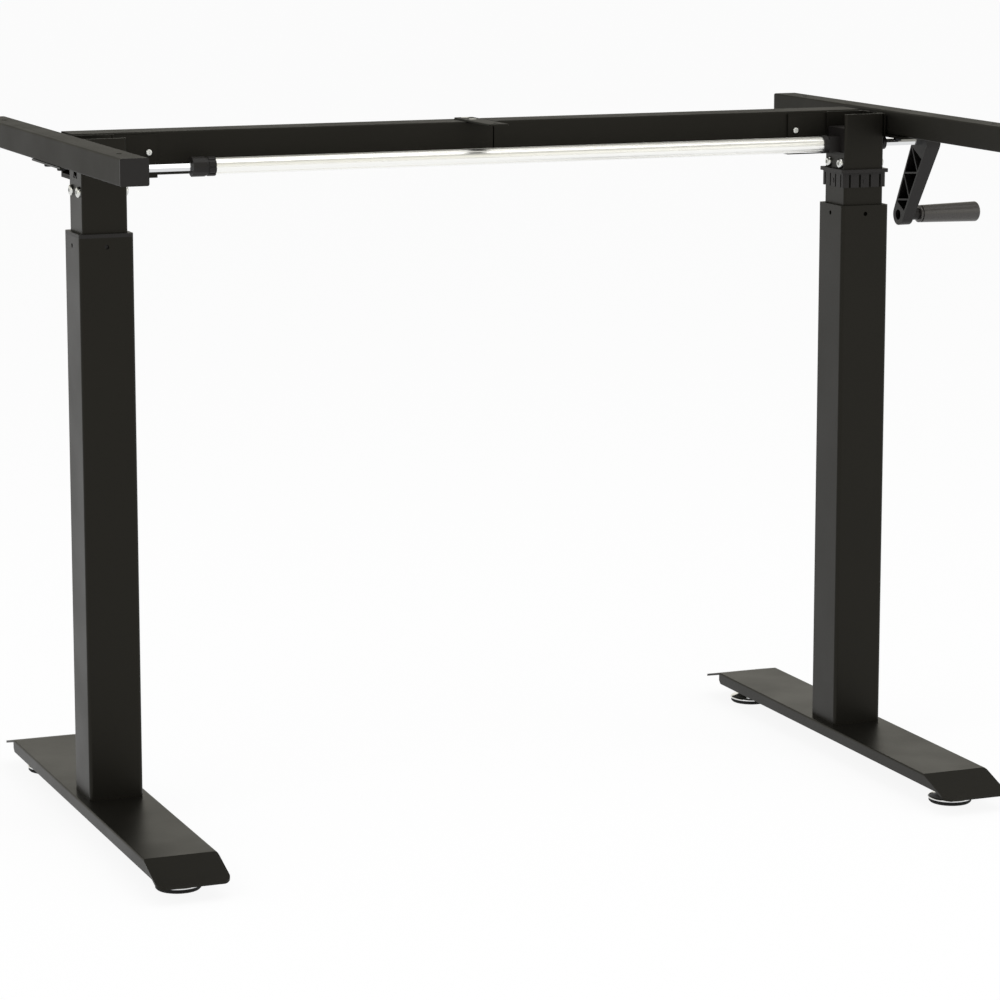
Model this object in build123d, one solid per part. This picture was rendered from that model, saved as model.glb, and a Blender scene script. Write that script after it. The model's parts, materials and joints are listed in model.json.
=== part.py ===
from build123d import *
import math
import os

# Height-adjustable desk frame driven by a hand crank, standing at its lowest height.
# +X is the width, with the crank on the right; -Y is the front, where a person sits; +Z is up.
# The origin lies on the floor, under the middle of the whole frame.

# Feet: pressed sheet channels, flat on top, with a sloping flap at each end
leg_spacing = 906.0
foot_height = 37.0
foot_width = 80.0
foot_flat_length = 530.0
front_flap_run = 53.0
front_flap_drop = 17.5
back_flap_run = 44.0
back_flap_drop = 11.0
foot_side_share = 0.75
foot_side_corner = 4.0
foot_bend_radius = 2.0
foot_sheet = 2.5
foot_tip_radius = 12.0

# Levelling feet, screwed into weld nuts under the feet
leveller_inset = 8.0
leveller_pad_diameter = 48.0
leveller_pad_height = 5.5
leveller_rim_inset = 1.0
leveller_cup_height = 2.0
leveller_cone_height = 9.0
leveller_neck_diameter = 12.0
leveller_stud_diameter = 8.0
leveller_nut_flats = 13.0
leveller_nut_height = 8.0
leveller_top_gap = 1.0

# Outer tubes and what stands inside them
outer_tube_size = 60.0
outer_tube_wall = 2.0
outer_tube_corner = 4.0
outer_tube_length = 615.0
snap_hole_diameter = 5.0
snap_hole_depth = 10.0
base_plate_thickness = 6.0
foot_bolt_diameter = 6.0
foot_bolt_spacing = 38.0
foot_bolt_head_diameter = 10.0
foot_bolt_head_height = 4.0
nut_post_diameter = 34.0
nut_post_wall = 2.5
nut_post_drop = 70.0
nut_post_length = outer_tube_length - base_plate_thickness - nut_post_drop
nut_flange_height = 8.0
nut_body_height = 20.0

# Inner columns, which the lead screws raise
guide_space = 3.0
inner_tube_size = outer_tube_size - 2 * (outer_tube_wall + guide_space)
inner_tube_wall = 2.0
inner_tube_corner = 3.0
inner_tube_excess = 25.0
inner_tube_length = outer_tube_length + inner_tube_excess
stroke_reserve = 195.0
lift_stroke = outer_tube_length - stroke_reserve
glide_height = 32.0
glide_lip = 3.0

# Guide bushes in the mouths of the outer tubes
bush_flange_height = 4.0
bush_finger_length = 17.0
bush_slot_count = 4
bush_slot_width = 2.5
bush_slot_spacing = 13.0
bush_slot_end = 2.0
bush_finger_clearance = 0.7
bush_nose_width = 4.0
bush_nose_height = 5.0
bush_nose_rise = 0.5
bush_raise = 37.5

# Support bars under the tabletop
bar_rise = 108.3
bar_top = outer_tube_length + bar_rise
bar_width = 30.0
bar_height = 28.0
bar_wall = 1.5
bar_corner = 2.0
bar_length = 570.0
bar_centre_y = -12.0
bar_gap = 5.5
cap_thickness = 2.0
cap_plug_length = 12.0
top_hole_diameter = 6.4
top_hole_spacing = 460.0

# Angle brackets that carry the bars on the columns
seat_sheet = 2.0
seat_front = 70.0
seat_back = 44.0
seat_rise = 24.0
seat_screw_spacing = 52.0
seat_screw_centre = 6.0
column_drop = 3.3

# Crossbar, its cradles, its joiner sleeve and the strap on top
crossbar_depth = 45.0
crossbar_height = 47.0
crossbar_wall = 2.0
crossbar_corner = 2.0
seam_offset = 13.0
seam_gap = 1.5
cradle_sheet = 2.5
cradle_reach = 73.5
cradle_end_gap = 5.0
cradle_top_drop = 2.5
cradle_screw_inset = 9.5
cradle_screw_drop = 22.0
sleeve_length = 240.0
sleeve_wall = 2.0
sleeve_screw_spacing = 120.0
strap_width = 23.0
strap_thickness = 2.0
strap_front = 42.0
strap_back_margin = 4.8
strap_offset = -8.0
strap_hole_diameter = 6.0
strap_hole_inset = 12.0
strap_screw_spacing = 24.0

# Button-head screws with a hexagon socket, small pan-head screws, and the countersunk ones of the strap
screw_diameter = 5.0
screw_length = 9.0
screw_head_diameter = 12.0
screw_head_height = 3.3
screw_socket_flats = 4.0
screw_socket_depth = 2.0
cap_head_diameter = 9.0
cap_head_height = 6.0
pan_diameter = 4.0
pan_length = 8.0
pan_head_diameter = 7.0
pan_head_height = 2.2
pan_recess_width = 1.0
pan_recess_depth = 1.0
flat_head_diameter = 9.0

# Gearboxes, each with a pair of equal bevel gears
housing_wall = 3.5
housing_rise = 16.0
housing_floor = 9.8
housing_floor_drop = 19.6
cover_thickness = 3.0
nose_size = 17.2
nose_length = 12.0
head_notch_margin = 3.0
rod_end_inset = 2.0
shaft_bush_wall = 1.2
gear_teeth = 16
gear_pitch_radius = 12.0
gear_face = 6.0
gear_addendum = 1.2
gear_dedendum = 1.7
gear_tooth_thickness = 1.7
gear_flank_angle = 20.0
gear_web = 1.4
gear_hub_diameter = 18.0
gear_hub_height = 4.5
pinion_journal_diameter = 11.6
gearbox_screw_drop = 21.4
gearbox_screw_spacing = 29.0
bearing_diameter = 28.0
bearing_washer = 3.0
bearing_cage = 2.7
bearing_cage_diameter = 26.0
bearing_pocket_depth = 7.0

# Lead screws
thread_diameter = 16.0
screw_flange_diameter = 24.0
screw_flange_height = 4.0
screw_journal_diameter = 10.0
thread_run_out = 5.0

# Drive line from the crank to the left gearbox
hex_flats = 8.0
drive_tube_diameter = 18.0
drive_groove_count = 8
drive_groove_radius = 0.8
hex_shaft_grip = 40.0
hex_rod_grip = 150.0
ring_collar_diameter = 21.0
ring_collar_length = 6.0
shaft_collar_diameter = 16.0
shaft_collar_length = 4.0
shaft_collar_offset = 34.0
clamp_offset = 103.7
clamp_length = 26.0
clamp_diameter = 21.0
clamp_sides = 12
clamp_rod_end = 7.0
clamp_groove_start = 15.0
clamp_groove_width = 3.0
clamp_groove_depth = 0.6
clamp_slit_count = 8
clamp_slit_width = 1.8
clamp_slit_depth = 0.7

# Crank
crank_offset = 86.0
crank_length = 104.5
crank_rest_angle = 29.0
crank_hub_width = 33.0
crank_end_width = 24.5
crank_hub_thickness = 18.0
crank_end_thickness = 14.0
crank_back = 3.0
crank_side = 2.5
crank_rib = 2.0
crank_rib_count = 4
crank_socket_depth = 15.0
crank_neck_diameter = 14.0
crank_neck_length = 12.0
pin_diameter = 8.0
pin_head_diameter = 12.0
pin_head_height = 3.0
pin_recess_depth = 8.0
grip_start_diameter = 20.5
grip_end_diameter = 24.0
grip_length = 80.0
grip_end_radius = 4.0
grip_groove_width = 2.0
grip_groove_depth = 1.2
grip_groove_offset = 2.0
grip_end_wall = 8.0

# Clearances
fit_gap = 0.1
assembly_gap = 0.2
sliding_gap = 0.3
bolt_gap = 0.3

# Places worked out from the sizes above
bar_inner = inner_tube_size / 2 + bar_gap
bar_outer = bar_inner + bar_width
grip_start = crank_offset + crank_end_thickness + crank_neck_length + sliding_gap
grip_stop = grip_start + grip_length
middle_x = (bar_outer - grip_stop) / 2
leg_x = {"left": middle_x - leg_spacing / 2, "right": middle_x + leg_spacing / 2}
outward = {"left": -1, "right": 1}
sides = ("left", "right")
ends = {"front": -1, "back": 1}

tube_top = foot_height + outer_tube_length
bars_top = foot_height + bar_top
bars_bottom = bars_top - bar_height
column_top = bars_top - column_drop
column_bottom = column_top - inner_tube_length
drive_z = bars_bottom - seat_sheet - sliding_gap - nose_size / 2
foot_side_depth = foot_side_share * front_flap_drop
leveller_y = foot_flat_length / 2 - leveller_inset

outer_tube_bore = outer_tube_size - 2 * outer_tube_wall
inner_tube_bore = inner_tube_size - 2 * inner_tube_wall
bush_bore = inner_tube_size + 2 * sliding_gap

crossbar_top = bars_top - strap_thickness
crossbar_bottom = crossbar_top - crossbar_height
cradle_y = inner_tube_size / 2
crossbar_y = cradle_y + cradle_sheet + assembly_gap
crossbar_middle_y = crossbar_y + crossbar_depth / 2
crossbar_back = crossbar_y + crossbar_depth
crossbar_middle_z = crossbar_bottom + crossbar_height / 2
crossbar_end = inner_tube_size / 2 - cradle_end_gap
strap_back = crossbar_middle_y + strap_screw_spacing / 2 + strap_back_margin
seam_x = middle_x + seam_offset
strap_x = middle_x + strap_offset

housing_size = inner_tube_bore - 2 * sliding_gap
housing_top = drive_z + housing_rise
floor_top = drive_z - housing_floor_drop
bearing_top = floor_top - housing_floor
housing_bottom = bearing_top - bearing_pocket_depth
bearing_height = 2 * bearing_washer + bearing_cage
screw_flange_top = bearing_top - bearing_height - sliding_gap
nut_bottom = foot_height + base_plate_thickness + nut_post_length - nut_body_height
thread_bottom = nut_bottom - lift_stroke - thread_run_out
nose_end = inner_tube_size / 2 + nose_length
rod_end = inner_tube_size / 2 - rod_end_inset
pinion_bore_radius = pinion_journal_diameter / 2 + sliding_gap
shaft_bush_radius = pinion_bore_radius + shaft_bush_wall
collar_start = nose_end + sliding_gap
tube_right_end = collar_start + ring_collar_length

clamp_x = leg_x["left"] + clamp_offset
tube_left_x = clamp_x + clamp_rod_end
tube_right_x = leg_x["right"] - tube_right_end
crank_x = leg_x["right"] + crank_offset


def square_tube(size_x, size_y, corner, wall, length):
    """A closed section with rounded corners, standing on the XY plane."""
    outside = RectangleRounded(size_x, size_y, corner)
    inside = RectangleRounded(size_x - 2 * wall, size_y - 2 * wall, max(corner - wall, wall / 4))
    return extrude(outside - inside, length)


def rod_x(radius, start, stop, y=0.0, z=0.0):
    """A round bar along X."""
    bar = Cylinder(radius, stop - start, align=(Align.CENTER, Align.CENTER, Align.MIN))
    return Pos(start, y, z) * Rot(0, 90, 0) * bar


def rod_y(radius, start, stop, x=0.0, z=0.0):
    """A round bar along Y."""
    bar = Cylinder(radius, stop - start, align=(Align.CENTER, Align.CENTER, Align.MIN))
    return Pos(x, start, z) * Rot(-90, 0, 0) * bar


def rod_z(radius, start, stop, x=0.0, y=0.0):
    """A round bar along Z."""
    return Pos(x, y, start) * Cylinder(radius, stop - start, align=(Align.CENTER, Align.CENTER, Align.MIN))


def hex_x(flats, start, stop, z=0.0):
    """A six-sided bar along X, with a flat on top."""
    outline = RegularPolygon(flats / 2, 6, major_radius=False, rotation=30)
    return Pos(start, 0, z) * Rot(0, 90, 0) * extrude(outline, stop - start)


def block(x0, x1, y0, y1, z0, z1):
    """A box between two corners."""
    return Pos((x0 + x1) / 2, (y0 + y1) / 2, (z0 + z1) / 2) * Box(x1 - x0, y1 - y0, z1 - z0)


def group(shapes):
    """Separate solids that share one node."""
    return Compound(children=list(shapes))


def face_yz(points):
    """A face in the YZ plane from its corners."""
    return Plane.YZ * make_face(Polyline(*points, close=True))


def hand(shape, side):
    """A shape made for the right leg at the origin, moved to its leg and mirrored for the left one."""
    turned = shape if side == "right" else mirror(shape, about=Plane.YZ)
    return Pos(leg_x[side], 0, 0) * turned


def button_screw():
    """A button-head screw: its head stands on the XY plane and its shank points down."""
    head = rod_z(screw_head_diameter / 2, 0, screw_head_height)
    head = fillet(head.edges().group_by(Axis.Z)[-1], 0.8 * screw_head_height)
    socket = extrude(RegularPolygon(screw_socket_flats / 2, 6, major_radius=False), screw_socket_depth)
    shank = rod_z(screw_diameter / 2, -screw_length, 0)
    return head + shank - Pos(0, 0, screw_head_height - screw_socket_depth) * socket


def cap_screw():
    """A socket-head cap screw, standing the same way."""
    head = rod_z(cap_head_diameter / 2, 0, cap_head_height)
    head = chamfer(head.edges().group_by(Axis.Z)[-1], cap_head_height / 10)
    socket = extrude(RegularPolygon(screw_socket_flats / 2, 6, major_radius=False), cap_head_height / 2)
    shank = rod_z(screw_diameter / 2, -screw_length, 0)
    return head + shank - Pos(0, 0, cap_head_height / 2) * socket


def pan_screw():
    """A small pan-head screw with a cross recess, standing the same way."""
    radius = pan_head_diameter / 2
    head = rod_z(radius, 0, pan_head_height)
    head = fillet(head.edges().group_by(Axis.Z)[-1], pan_head_height / 2)
    shank = rod_z(pan_diameter / 2, -pan_length, 0)
    recess_z = pan_head_height - pan_recess_depth / 2
    long_cut = Pos(0, 0, recess_z) * Box(radius, pan_recess_width, pan_recess_depth)
    cross_cut = Pos(0, 0, recess_z) * Box(pan_recess_width, radius, pan_recess_depth)
    return head + shank - long_cut - cross_cut


def flap_underside(run, drop):
    """A flap's underside: its setback from the bend, its setback from the tip, and its depth there."""
    slope = math.hypot(run, drop)
    start = foot_sheet * math.tan(math.atan2(drop, run) / 2)
    return start, foot_sheet * drop / slope, drop + foot_sheet * run / slope


def foot(side):
    """The pressed foot: top sheet with a flap at each end, and flanges that run out under the front one."""
    half = foot_flat_length / 2
    front = half + front_flap_run
    back = half + back_flap_run
    front_start, front_end, front_depth = flap_underside(front_flap_run, front_flap_drop)
    back_start, back_end, back_depth = flap_underside(back_flap_run, back_flap_drop)
    upper = [(-front, -front_flap_drop), (-half, 0), (half, 0), (back, -back_flap_drop)]
    lower = [(back - back_end, -back_depth), (half - back_start, -foot_sheet),
             (front_start - half, -foot_sheet), (front_end - front, -front_depth)]
    sheet = extrude(face_yz(upper + lower), foot_width / 2, both=True)
    plan = extrude(RectangleRounded(foot_width, front + back, foot_tip_radius), 2 * front_depth, both=True)
    sheet = sheet & Pos(0, (back - front) / 2, 0) * plan
    front_low = half + foot_side_share * front_flap_run
    back_low = half - foot_side_corner
    flange_face = face_yz([(-half, 0), (-front_low, -foot_side_depth), (back_low, -foot_side_depth),
                           (half, foot_side_corner - foot_side_depth), (half, 0)])
    flange = extrude(flange_face, foot_sheet)
    inner_x = foot_width / 2 - foot_sheet
    shape = sheet + Pos(inner_x, 0, 0) * flange + Pos(-foot_width / 2, 0, 0) * flange
    shape = fillet(shape.edges().filter_by(Axis.Y).group_by(Axis.Z)[-1], foot_bend_radius)
    for place in GridLocations(foot_bolt_spacing, foot_bolt_spacing, 2, 2):
        shape -= place * rod_z(foot_bolt_diameter / 2 + bolt_gap, -2 * foot_sheet, foot_sheet)
    return Pos(leg_x[side], 0, foot_height) * shape


def leveller_post(x, y):
    """The steel part of a levelling foot: cup, cone and stud."""
    rim = leveller_pad_diameter / 2 - leveller_rim_inset
    neck = leveller_neck_diameter / 2
    cup_top = leveller_pad_height + leveller_cup_height
    cone_top = cup_top + leveller_cone_height
    stud = leveller_stud_diameter / 2
    stud_top = foot_height - foot_sheet - leveller_top_gap
    cup = rod_z(rim, leveller_pad_height, cup_top)
    cup = fillet(cup.edges().group_by(Axis.Z)[-1], leveller_cup_height / 2)
    cone = Pos(0, 0, cup_top) * Cone(rim - leveller_cup_height, neck, leveller_cone_height,
                                     align=(Align.CENTER, Align.CENTER, Align.MIN))
    return Pos(x, y, 0) * (cup + cone + rod_z(stud, cone_top, stud_top))


def leveller_pad(x, y):
    """The black pad that a levelling foot stands on."""
    pad = rod_z(leveller_pad_diameter / 2, 0, leveller_pad_height, x, y)
    return chamfer(pad.edges().group_by(Axis.Z)[0], leveller_pad_height / 4)


def leveller_nuts():
    """The four weld nuts under the feet."""
    underside = foot_height - foot_sheet
    outline = RegularPolygon(leveller_nut_flats / 2, 6, major_radius=False)
    nut = extrude(outline - Circle(leveller_stud_diameter / 2 + sliding_gap), leveller_nut_height)
    return group(
        Pos(leg_x[side], y_sign * leveller_y, underside - leveller_nut_height) * nut
        for side in sides
        for y_sign in ends.values()
    )


def outer_tube(side):
    """The fixed tube of a leg, with a snap hole in each face near its mouth."""
    shape = square_tube(outer_tube_size, outer_tube_size, outer_tube_corner, outer_tube_wall,
                        outer_tube_length)
    hole_z = outer_tube_length - snap_hole_depth
    reach = outer_tube_size
    shape -= rod_x(snap_hole_diameter / 2, -reach, reach, z=hole_z)
    shape -= rod_y(snap_hole_diameter / 2, -reach, reach, z=hole_z)
    return Pos(leg_x[side], 0, foot_height) * shape


def base_plate(side):
    """The plate in a tube's lower end that the foot bolts onto."""
    size = outer_tube_bore - 2 * assembly_gap
    plate = extrude(RectangleRounded(size, size, outer_tube_corner - outer_tube_wall), base_plate_thickness)
    for place in GridLocations(foot_bolt_spacing, foot_bolt_spacing, 2, 2):
        plate -= place * rod_z(foot_bolt_diameter / 2 + fit_gap, -1, base_plate_thickness + 1)
    return Pos(leg_x[side], 0, foot_height) * plate


def foot_bolts():
    """The hexagon bolts that hold the feet, driven from below."""
    head = RegularPolygon(foot_bolt_head_diameter / 2, 6, major_radius=False)
    bolt = Pos(0, 0, -foot_sheet - foot_bolt_head_height) * extrude(head, foot_bolt_head_height)
    bolt += rod_z(foot_bolt_diameter / 2, -foot_sheet, base_plate_thickness)
    return group(
        Pos(leg_x[side], 0, foot_height) * place * bolt
        for side in sides
        for place in GridLocations(foot_bolt_spacing, foot_bolt_spacing, 2, 2)
    )


def nut_post(side):
    """The tube that holds the lift nut up inside the leg."""
    bottom = foot_height + base_plate_thickness
    radius = nut_post_diameter / 2
    post = rod_z(radius, bottom, bottom + nut_post_length)
    post -= rod_z(radius - nut_post_wall, bottom - 1, bottom + nut_post_length + 1)
    return Pos(leg_x[side], 0, 0) * post


def lift_nut(side):
    """The nut at the top of its post."""
    top = nut_bottom + nut_body_height
    radius = nut_post_diameter / 2
    nut = rod_z(radius, top, top + nut_flange_height)
    nut += rod_z(radius - nut_post_wall - fit_gap, nut_bottom, top)
    nut -= rod_z(thread_diameter / 2 + sliding_gap, nut_bottom - 1, top + nut_flange_height + 1)
    return Pos(leg_x[side], 0, 0) * nut


def guide_bush(side, raised):
    """The plastic bush between a tube's mouth and the column: flange, slotted fingers and noses."""
    finger_size = outer_tube_bore - 2 * bush_finger_clearance
    bore_corner = inner_tube_corner + sliding_gap
    bore = RectangleRounded(bush_bore, bush_bore, bore_corner)
    flange = RectangleRounded(outer_tube_size, outer_tube_size, outer_tube_corner) - bore
    ring = RectangleRounded(finger_size, finger_size, bore_corner) - bore
    shape = extrude(flange, bush_flange_height)
    shape += Pos(0, 0, -bush_finger_length) * extrude(ring, bush_finger_length)
    for turn in range(4):
        for place in range(bush_slot_count):
            offset = (place - (bush_slot_count - 1) / 2) * bush_slot_spacing
            slot = block(0, outer_tube_size, offset - bush_slot_width / 2, offset + bush_slot_width / 2,
                         -bush_finger_length - 1, -bush_slot_end)
            shape -= Rot(0, 0, 90 * turn) * slot
        nose = Box(2 * bush_nose_rise, bush_nose_width, bush_nose_height)
        shape += Rot(0, 0, 90 * turn) * Pos(finger_size / 2, 0, -snap_hole_depth) * nose
    return Pos(leg_x[side], 0, tube_top + raised) * shape


def inner_column(side):
    """The moving column: at its head the inner wall is cut away for the gearbox."""
    shape = square_tube(inner_tube_size, inner_tube_size, inner_tube_corner, inner_tube_wall,
                        inner_tube_length)
    shape = Pos(0, 0, column_bottom) * shape
    reach = inner_tube_size
    notch = inner_tube_size / 2 - head_notch_margin
    notch_bottom = drive_z - nose_size / 2 - sliding_gap
    shape -= block(-reach, 0, -notch, notch, notch_bottom, column_top + 1)
    slot = shaft_bush_radius + sliding_gap
    shape -= block(0, reach, -slot, slot, drive_z - slot, column_top + 1)
    for y in (-gearbox_screw_spacing / 2, gearbox_screw_spacing / 2):
        shape -= rod_x(screw_diameter / 2 + bolt_gap, -reach, reach, y, drive_z - gearbox_screw_drop)
    return hand(shape, side)


def column_glides():
    """The plastic shoes on the columns' lower ends, which run in the outer tubes."""
    size = outer_tube_bore - 2 * sliding_gap
    corner = inner_tube_corner
    outside = RectangleRounded(size, size, corner)
    ring = outside - RectangleRounded(inner_tube_size, inner_tube_size, corner)
    bore = inner_tube_bore
    lip_corner = max(inner_tube_corner - inner_tube_wall, inner_tube_wall / 4)
    lip = outside - RectangleRounded(bore, bore, lip_corner)
    shape = extrude(ring, glide_height) + Pos(0, 0, -glide_lip) * extrude(lip, glide_lip)
    return group(Pos(leg_x[side], 0, column_bottom) * shape for side in sides)


def gearbox_housing(side):
    """The open-topped box in a column's head, with a square nose on its inner side."""
    half = housing_size / 2
    cavity = half - housing_wall
    shape = block(-half, half, -half, half, housing_bottom, housing_top)
    shape -= block(-cavity, cavity, -cavity, cavity, floor_top, housing_top + 1)
    nose = nose_size / 2
    shape += block(-nose_end, -cavity, -nose, nose, drive_z - nose, drive_z + nose)
    shape -= rod_x(shaft_bush_radius, -nose_end - 1, half + 1, z=drive_z)
    shape -= rod_z(screw_journal_diameter / 2 + sliding_gap, housing_bottom - 1, floor_top + 1)
    shape -= rod_z(bearing_diameter / 2 + fit_gap, housing_bottom - 1, bearing_top)
    for sign in outward.values():
        for y in (-gearbox_screw_spacing / 2, gearbox_screw_spacing / 2):
            hole_stop = inner_tube_size / 2 - screw_length - bolt_gap
            low, high = sorted((sign * half * 2, sign * hole_stop))
            shape -= rod_x(screw_diameter / 2 + fit_gap, low, high, y, drive_z - gearbox_screw_drop)
    return hand(shape, side)


def gearbox_covers():
    """The lids of the two gearboxes."""
    half = housing_size / 2
    lid = block(-half, half, -half, half, housing_top, housing_top + cover_thickness)
    return group(Pos(leg_x[side], 0, 0) * lid for side in sides)


def gearbox_screws():
    """The screws through the column walls into the gearboxes."""
    screw = button_screw()
    shapes = []
    for side in sides:
        for sign in outward.values():
            for y in (-gearbox_screw_spacing / 2, gearbox_screw_spacing / 2):
                x = leg_x[side] + sign * inner_tube_size / 2
                shapes.append(Pos(x, y, drive_z - gearbox_screw_drop) * Rot(0, 90 * sign, 0) * screw)
    return group(shapes)


def thrust_bearing(side):
    """Two washers with a roller cage between them, under the gearbox floor."""
    bore = screw_journal_diameter / 2 + sliding_gap
    cage_top = bearing_top - bearing_washer
    cage_bottom = cage_top - bearing_cage
    stack = [
        (bearing_diameter / 2, cage_top, bearing_top),
        (bearing_cage_diameter / 2, cage_bottom, cage_top),
        (bearing_diameter / 2, cage_bottom - bearing_washer, cage_bottom),
    ]
    rings = [rod_z(radius, low, high) - rod_z(bore, low - 1, high + 1) for radius, low, high in stack]
    return group(Pos(leg_x[side], 0, 0) * ring for ring in rings)


def shaft_bushes():
    """The plain bushes that carry the pinions in the gearbox walls."""
    cavity = housing_size / 2 - housing_wall
    shapes = []
    for side in sides:
        for start, stop in ((-nose_end, -cavity), (cavity, inner_tube_size / 2)):
            ring = rod_x(shaft_bush_radius, start, stop, z=drive_z)
            ring -= rod_x(pinion_bore_radius, start - 1, stop + 1, z=drive_z)
            shapes.append(hand(ring, side))
    return group(shapes)


def bevel_gear(bore, hub_radius, hub_height):
    """A straight bevel gear on the Z axis: its cone's tip is the origin and its teeth lie above it."""
    cone = gear_pitch_radius * math.sqrt(2)
    inner_share = (cone - gear_face) / cone
    root = gear_dedendum / math.sqrt(2)
    outer_root = (gear_pitch_radius - root, gear_pitch_radius + root)
    inner_root = (outer_root[0] * inner_share, outer_root[1] * inner_share)
    back = outer_root[1] + gear_web
    outline = [(bore, inner_root[1]), inner_root, outer_root, (outer_root[0], back), (hub_radius, back),
               (hub_radius, back + hub_height), (bore, back + hub_height)]
    blank_face = Plane.XZ * make_face(Polyline(*outline, close=True))
    blank = revolve(blank_face, Axis.Z)
    tangent = math.tan(math.radians(gear_flank_angle))
    sunk = gear_dedendum + gear_web / 2
    levels = ((-sunk, 1), (gear_addendum, 1), (gear_addendum, -1), (-sunk, -1))
    sections = []
    for share in (1.0, inner_share):
        corners = [
            (sign * share * (gear_tooth_thickness / 2 - level * tangent), share * level)
            for level, sign in levels
        ]
        middle = (gear_pitch_radius * share, 0, gear_pitch_radius * share)
        plane = Plane(origin=middle, x_dir=(0, -1, 0), z_dir=(1, 0, 1))
        sections.append(plane * make_face(Polyline(*corners, close=True)))
    tooth = loft(sections)
    return blank + [Rot(0, 0, 360 * index / gear_teeth) * tooth for index in range(gear_teeth)]


def screw_gear(side):
    """The bevel gear on a lead screw's head, below the shaft, with a tooth towards the pinion."""
    gear = bevel_gear(screw_journal_diameter / 2, gear_hub_diameter / 2, gear_hub_height)
    return Pos(leg_x[side], 0, drive_z) * Rot(0, 180, 0) * gear


def pinion(side):
    """The bevel pinion on the shaft, left of the screw, with journals that run through both walls."""
    cone_back = gear_pitch_radius + gear_dedendum / math.sqrt(2) + gear_web
    journal = pinion_journal_diameter / 2
    hub_end = tube_right_end if side == "right" else rod_end
    far_end = inner_tube_size / 2 if side == "right" else nose_end
    gear = bevel_gear(hex_flats / 2, journal, hub_end - cone_back)
    half_pitch = 180 / gear_teeth
    shape = Rot(0, -90, 0) * Rot(0, 0, half_pitch) * gear
    shape += rod_x(journal, -cone_back, far_end)
    shape -= hex_x(hex_flats + 2 * fit_gap, -hub_end - 1, inner_tube_size)
    return Pos(leg_x[side], 0, drive_z) * shape


def lead_screw(side):
    """The screw that hangs from the gearbox into the nut; its thread is a plain cylinder."""
    flange_bottom = screw_flange_top - screw_flange_height
    journal_top = drive_z - gear_pitch_radius + gear_face / 2
    shape = rod_z(thread_diameter / 2, thread_bottom, flange_bottom)
    shape += rod_z(screw_flange_diameter / 2, flange_bottom, screw_flange_top)
    shape += rod_z(screw_journal_diameter / 2, screw_flange_top, journal_top)
    return Pos(leg_x[side], 0, 0) * shape


def support_bar(side):
    """A tabletop bar, with two holes right through for tabletop bolts and two below for its bracket."""
    length = bar_length - 2 * cap_thickness
    section = square_tube(bar_width, bar_height, bar_corner, bar_wall, length)
    middle = bar_inner + bar_width / 2
    shape = Pos(middle, bar_centre_y - length / 2, bars_bottom + bar_height / 2) * Rot(-90, 0, 0) * section
    for sign in ends.values():
        y = bar_centre_y + sign * top_hole_spacing / 2
        shape -= rod_z(top_hole_diameter / 2, bars_bottom - 1, bars_top + 1, middle, y)
    for y in seat_screw_places():
        shape -= rod_z(screw_diameter / 2 + bolt_gap, bars_bottom - 1, bars_bottom + 2 * bar_wall, middle, y)
    return hand(shape, side)


def seat_screw_places():
    """Where the bar screws stand along Y."""
    return (seat_screw_centre - seat_screw_spacing / 2, seat_screw_centre + seat_screw_spacing / 2)


def bar_end_caps():
    """The plastic plugs in the four bar ends."""
    plug_x = bar_width - 2 * bar_wall - 2 * assembly_gap
    plug_z = bar_height - 2 * bar_wall - 2 * assembly_gap
    cap = extrude(RectangleRounded(bar_width, bar_height, bar_corner), cap_thickness)
    cap += Pos(0, 0, -cap_plug_length) * extrude(Rectangle(plug_x, plug_z), cap_plug_length)
    middle_z = bars_bottom + bar_height / 2
    shapes = []
    for side in sides:
        x = leg_x[side] + outward[side] * (bar_inner + bar_width / 2)
        for sign in ends.values():
            y = bar_centre_y + sign * (bar_length / 2 - cap_thickness)
            shapes.append(Pos(x, y, middle_z) * Rot(-90 * sign, 0, 0) * cap)
    return group(shapes)


def bar_bracket(side):
    """The angle welded to a column's outer face, with the bar's seat."""
    inner = inner_tube_size / 2
    seat_bottom = bars_bottom - seat_sheet
    shape = block(inner, bar_outer, -seat_front, seat_back, seat_bottom, bars_bottom)
    shape += block(inner, inner + seat_sheet, -inner, seat_back, seat_bottom, bars_bottom + seat_rise)
    for y in seat_screw_places():
        hole = screw_diameter / 2 + bolt_gap
        shape -= rod_z(hole, seat_bottom - 1, bars_bottom + 1, bar_inner + bar_width / 2, y)
    return hand(shape, side)


def bar_screws():
    """The screws that hold the bars on their seats, driven from below."""
    screw = cap_screw()
    return group(
        Pos(leg_x[side] + outward[side] * (bar_inner + bar_width / 2), y, bars_bottom - seat_sheet)
        * Rot(180, 0, 0) * screw
        for side in sides
        for y in seat_screw_places()
    )


def cradle_screw_x(side):
    """How far along X a cradle's screw stands."""
    return leg_x[side] - outward[side] * (cradle_reach - cradle_screw_inset)


def cradle(side):
    """The channel on a column's back that the crossbar lies in."""
    outer_depth = crossbar_depth + 2 * assembly_gap + 2 * cradle_sheet
    low = crossbar_bottom - assembly_gap - cradle_sheet
    high = crossbar_top - cradle_top_drop
    shape = block(-cradle_reach, crossbar_end, cradle_y, cradle_y + outer_depth, low, high)
    shape -= block(-cradle_reach - 1, crossbar_end + 1, cradle_y + cradle_sheet,
                   cradle_y + outer_depth - cradle_sheet, low + cradle_sheet, high + 1)
    screw_place = cradle_screw_inset - cradle_reach
    shape -= rod_y(pan_diameter / 2 + bolt_gap, cradle_y - 1, crossbar_y + crossbar_wall,
                   screw_place, crossbar_top - cradle_screw_drop)
    return hand(shape, side)


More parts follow.
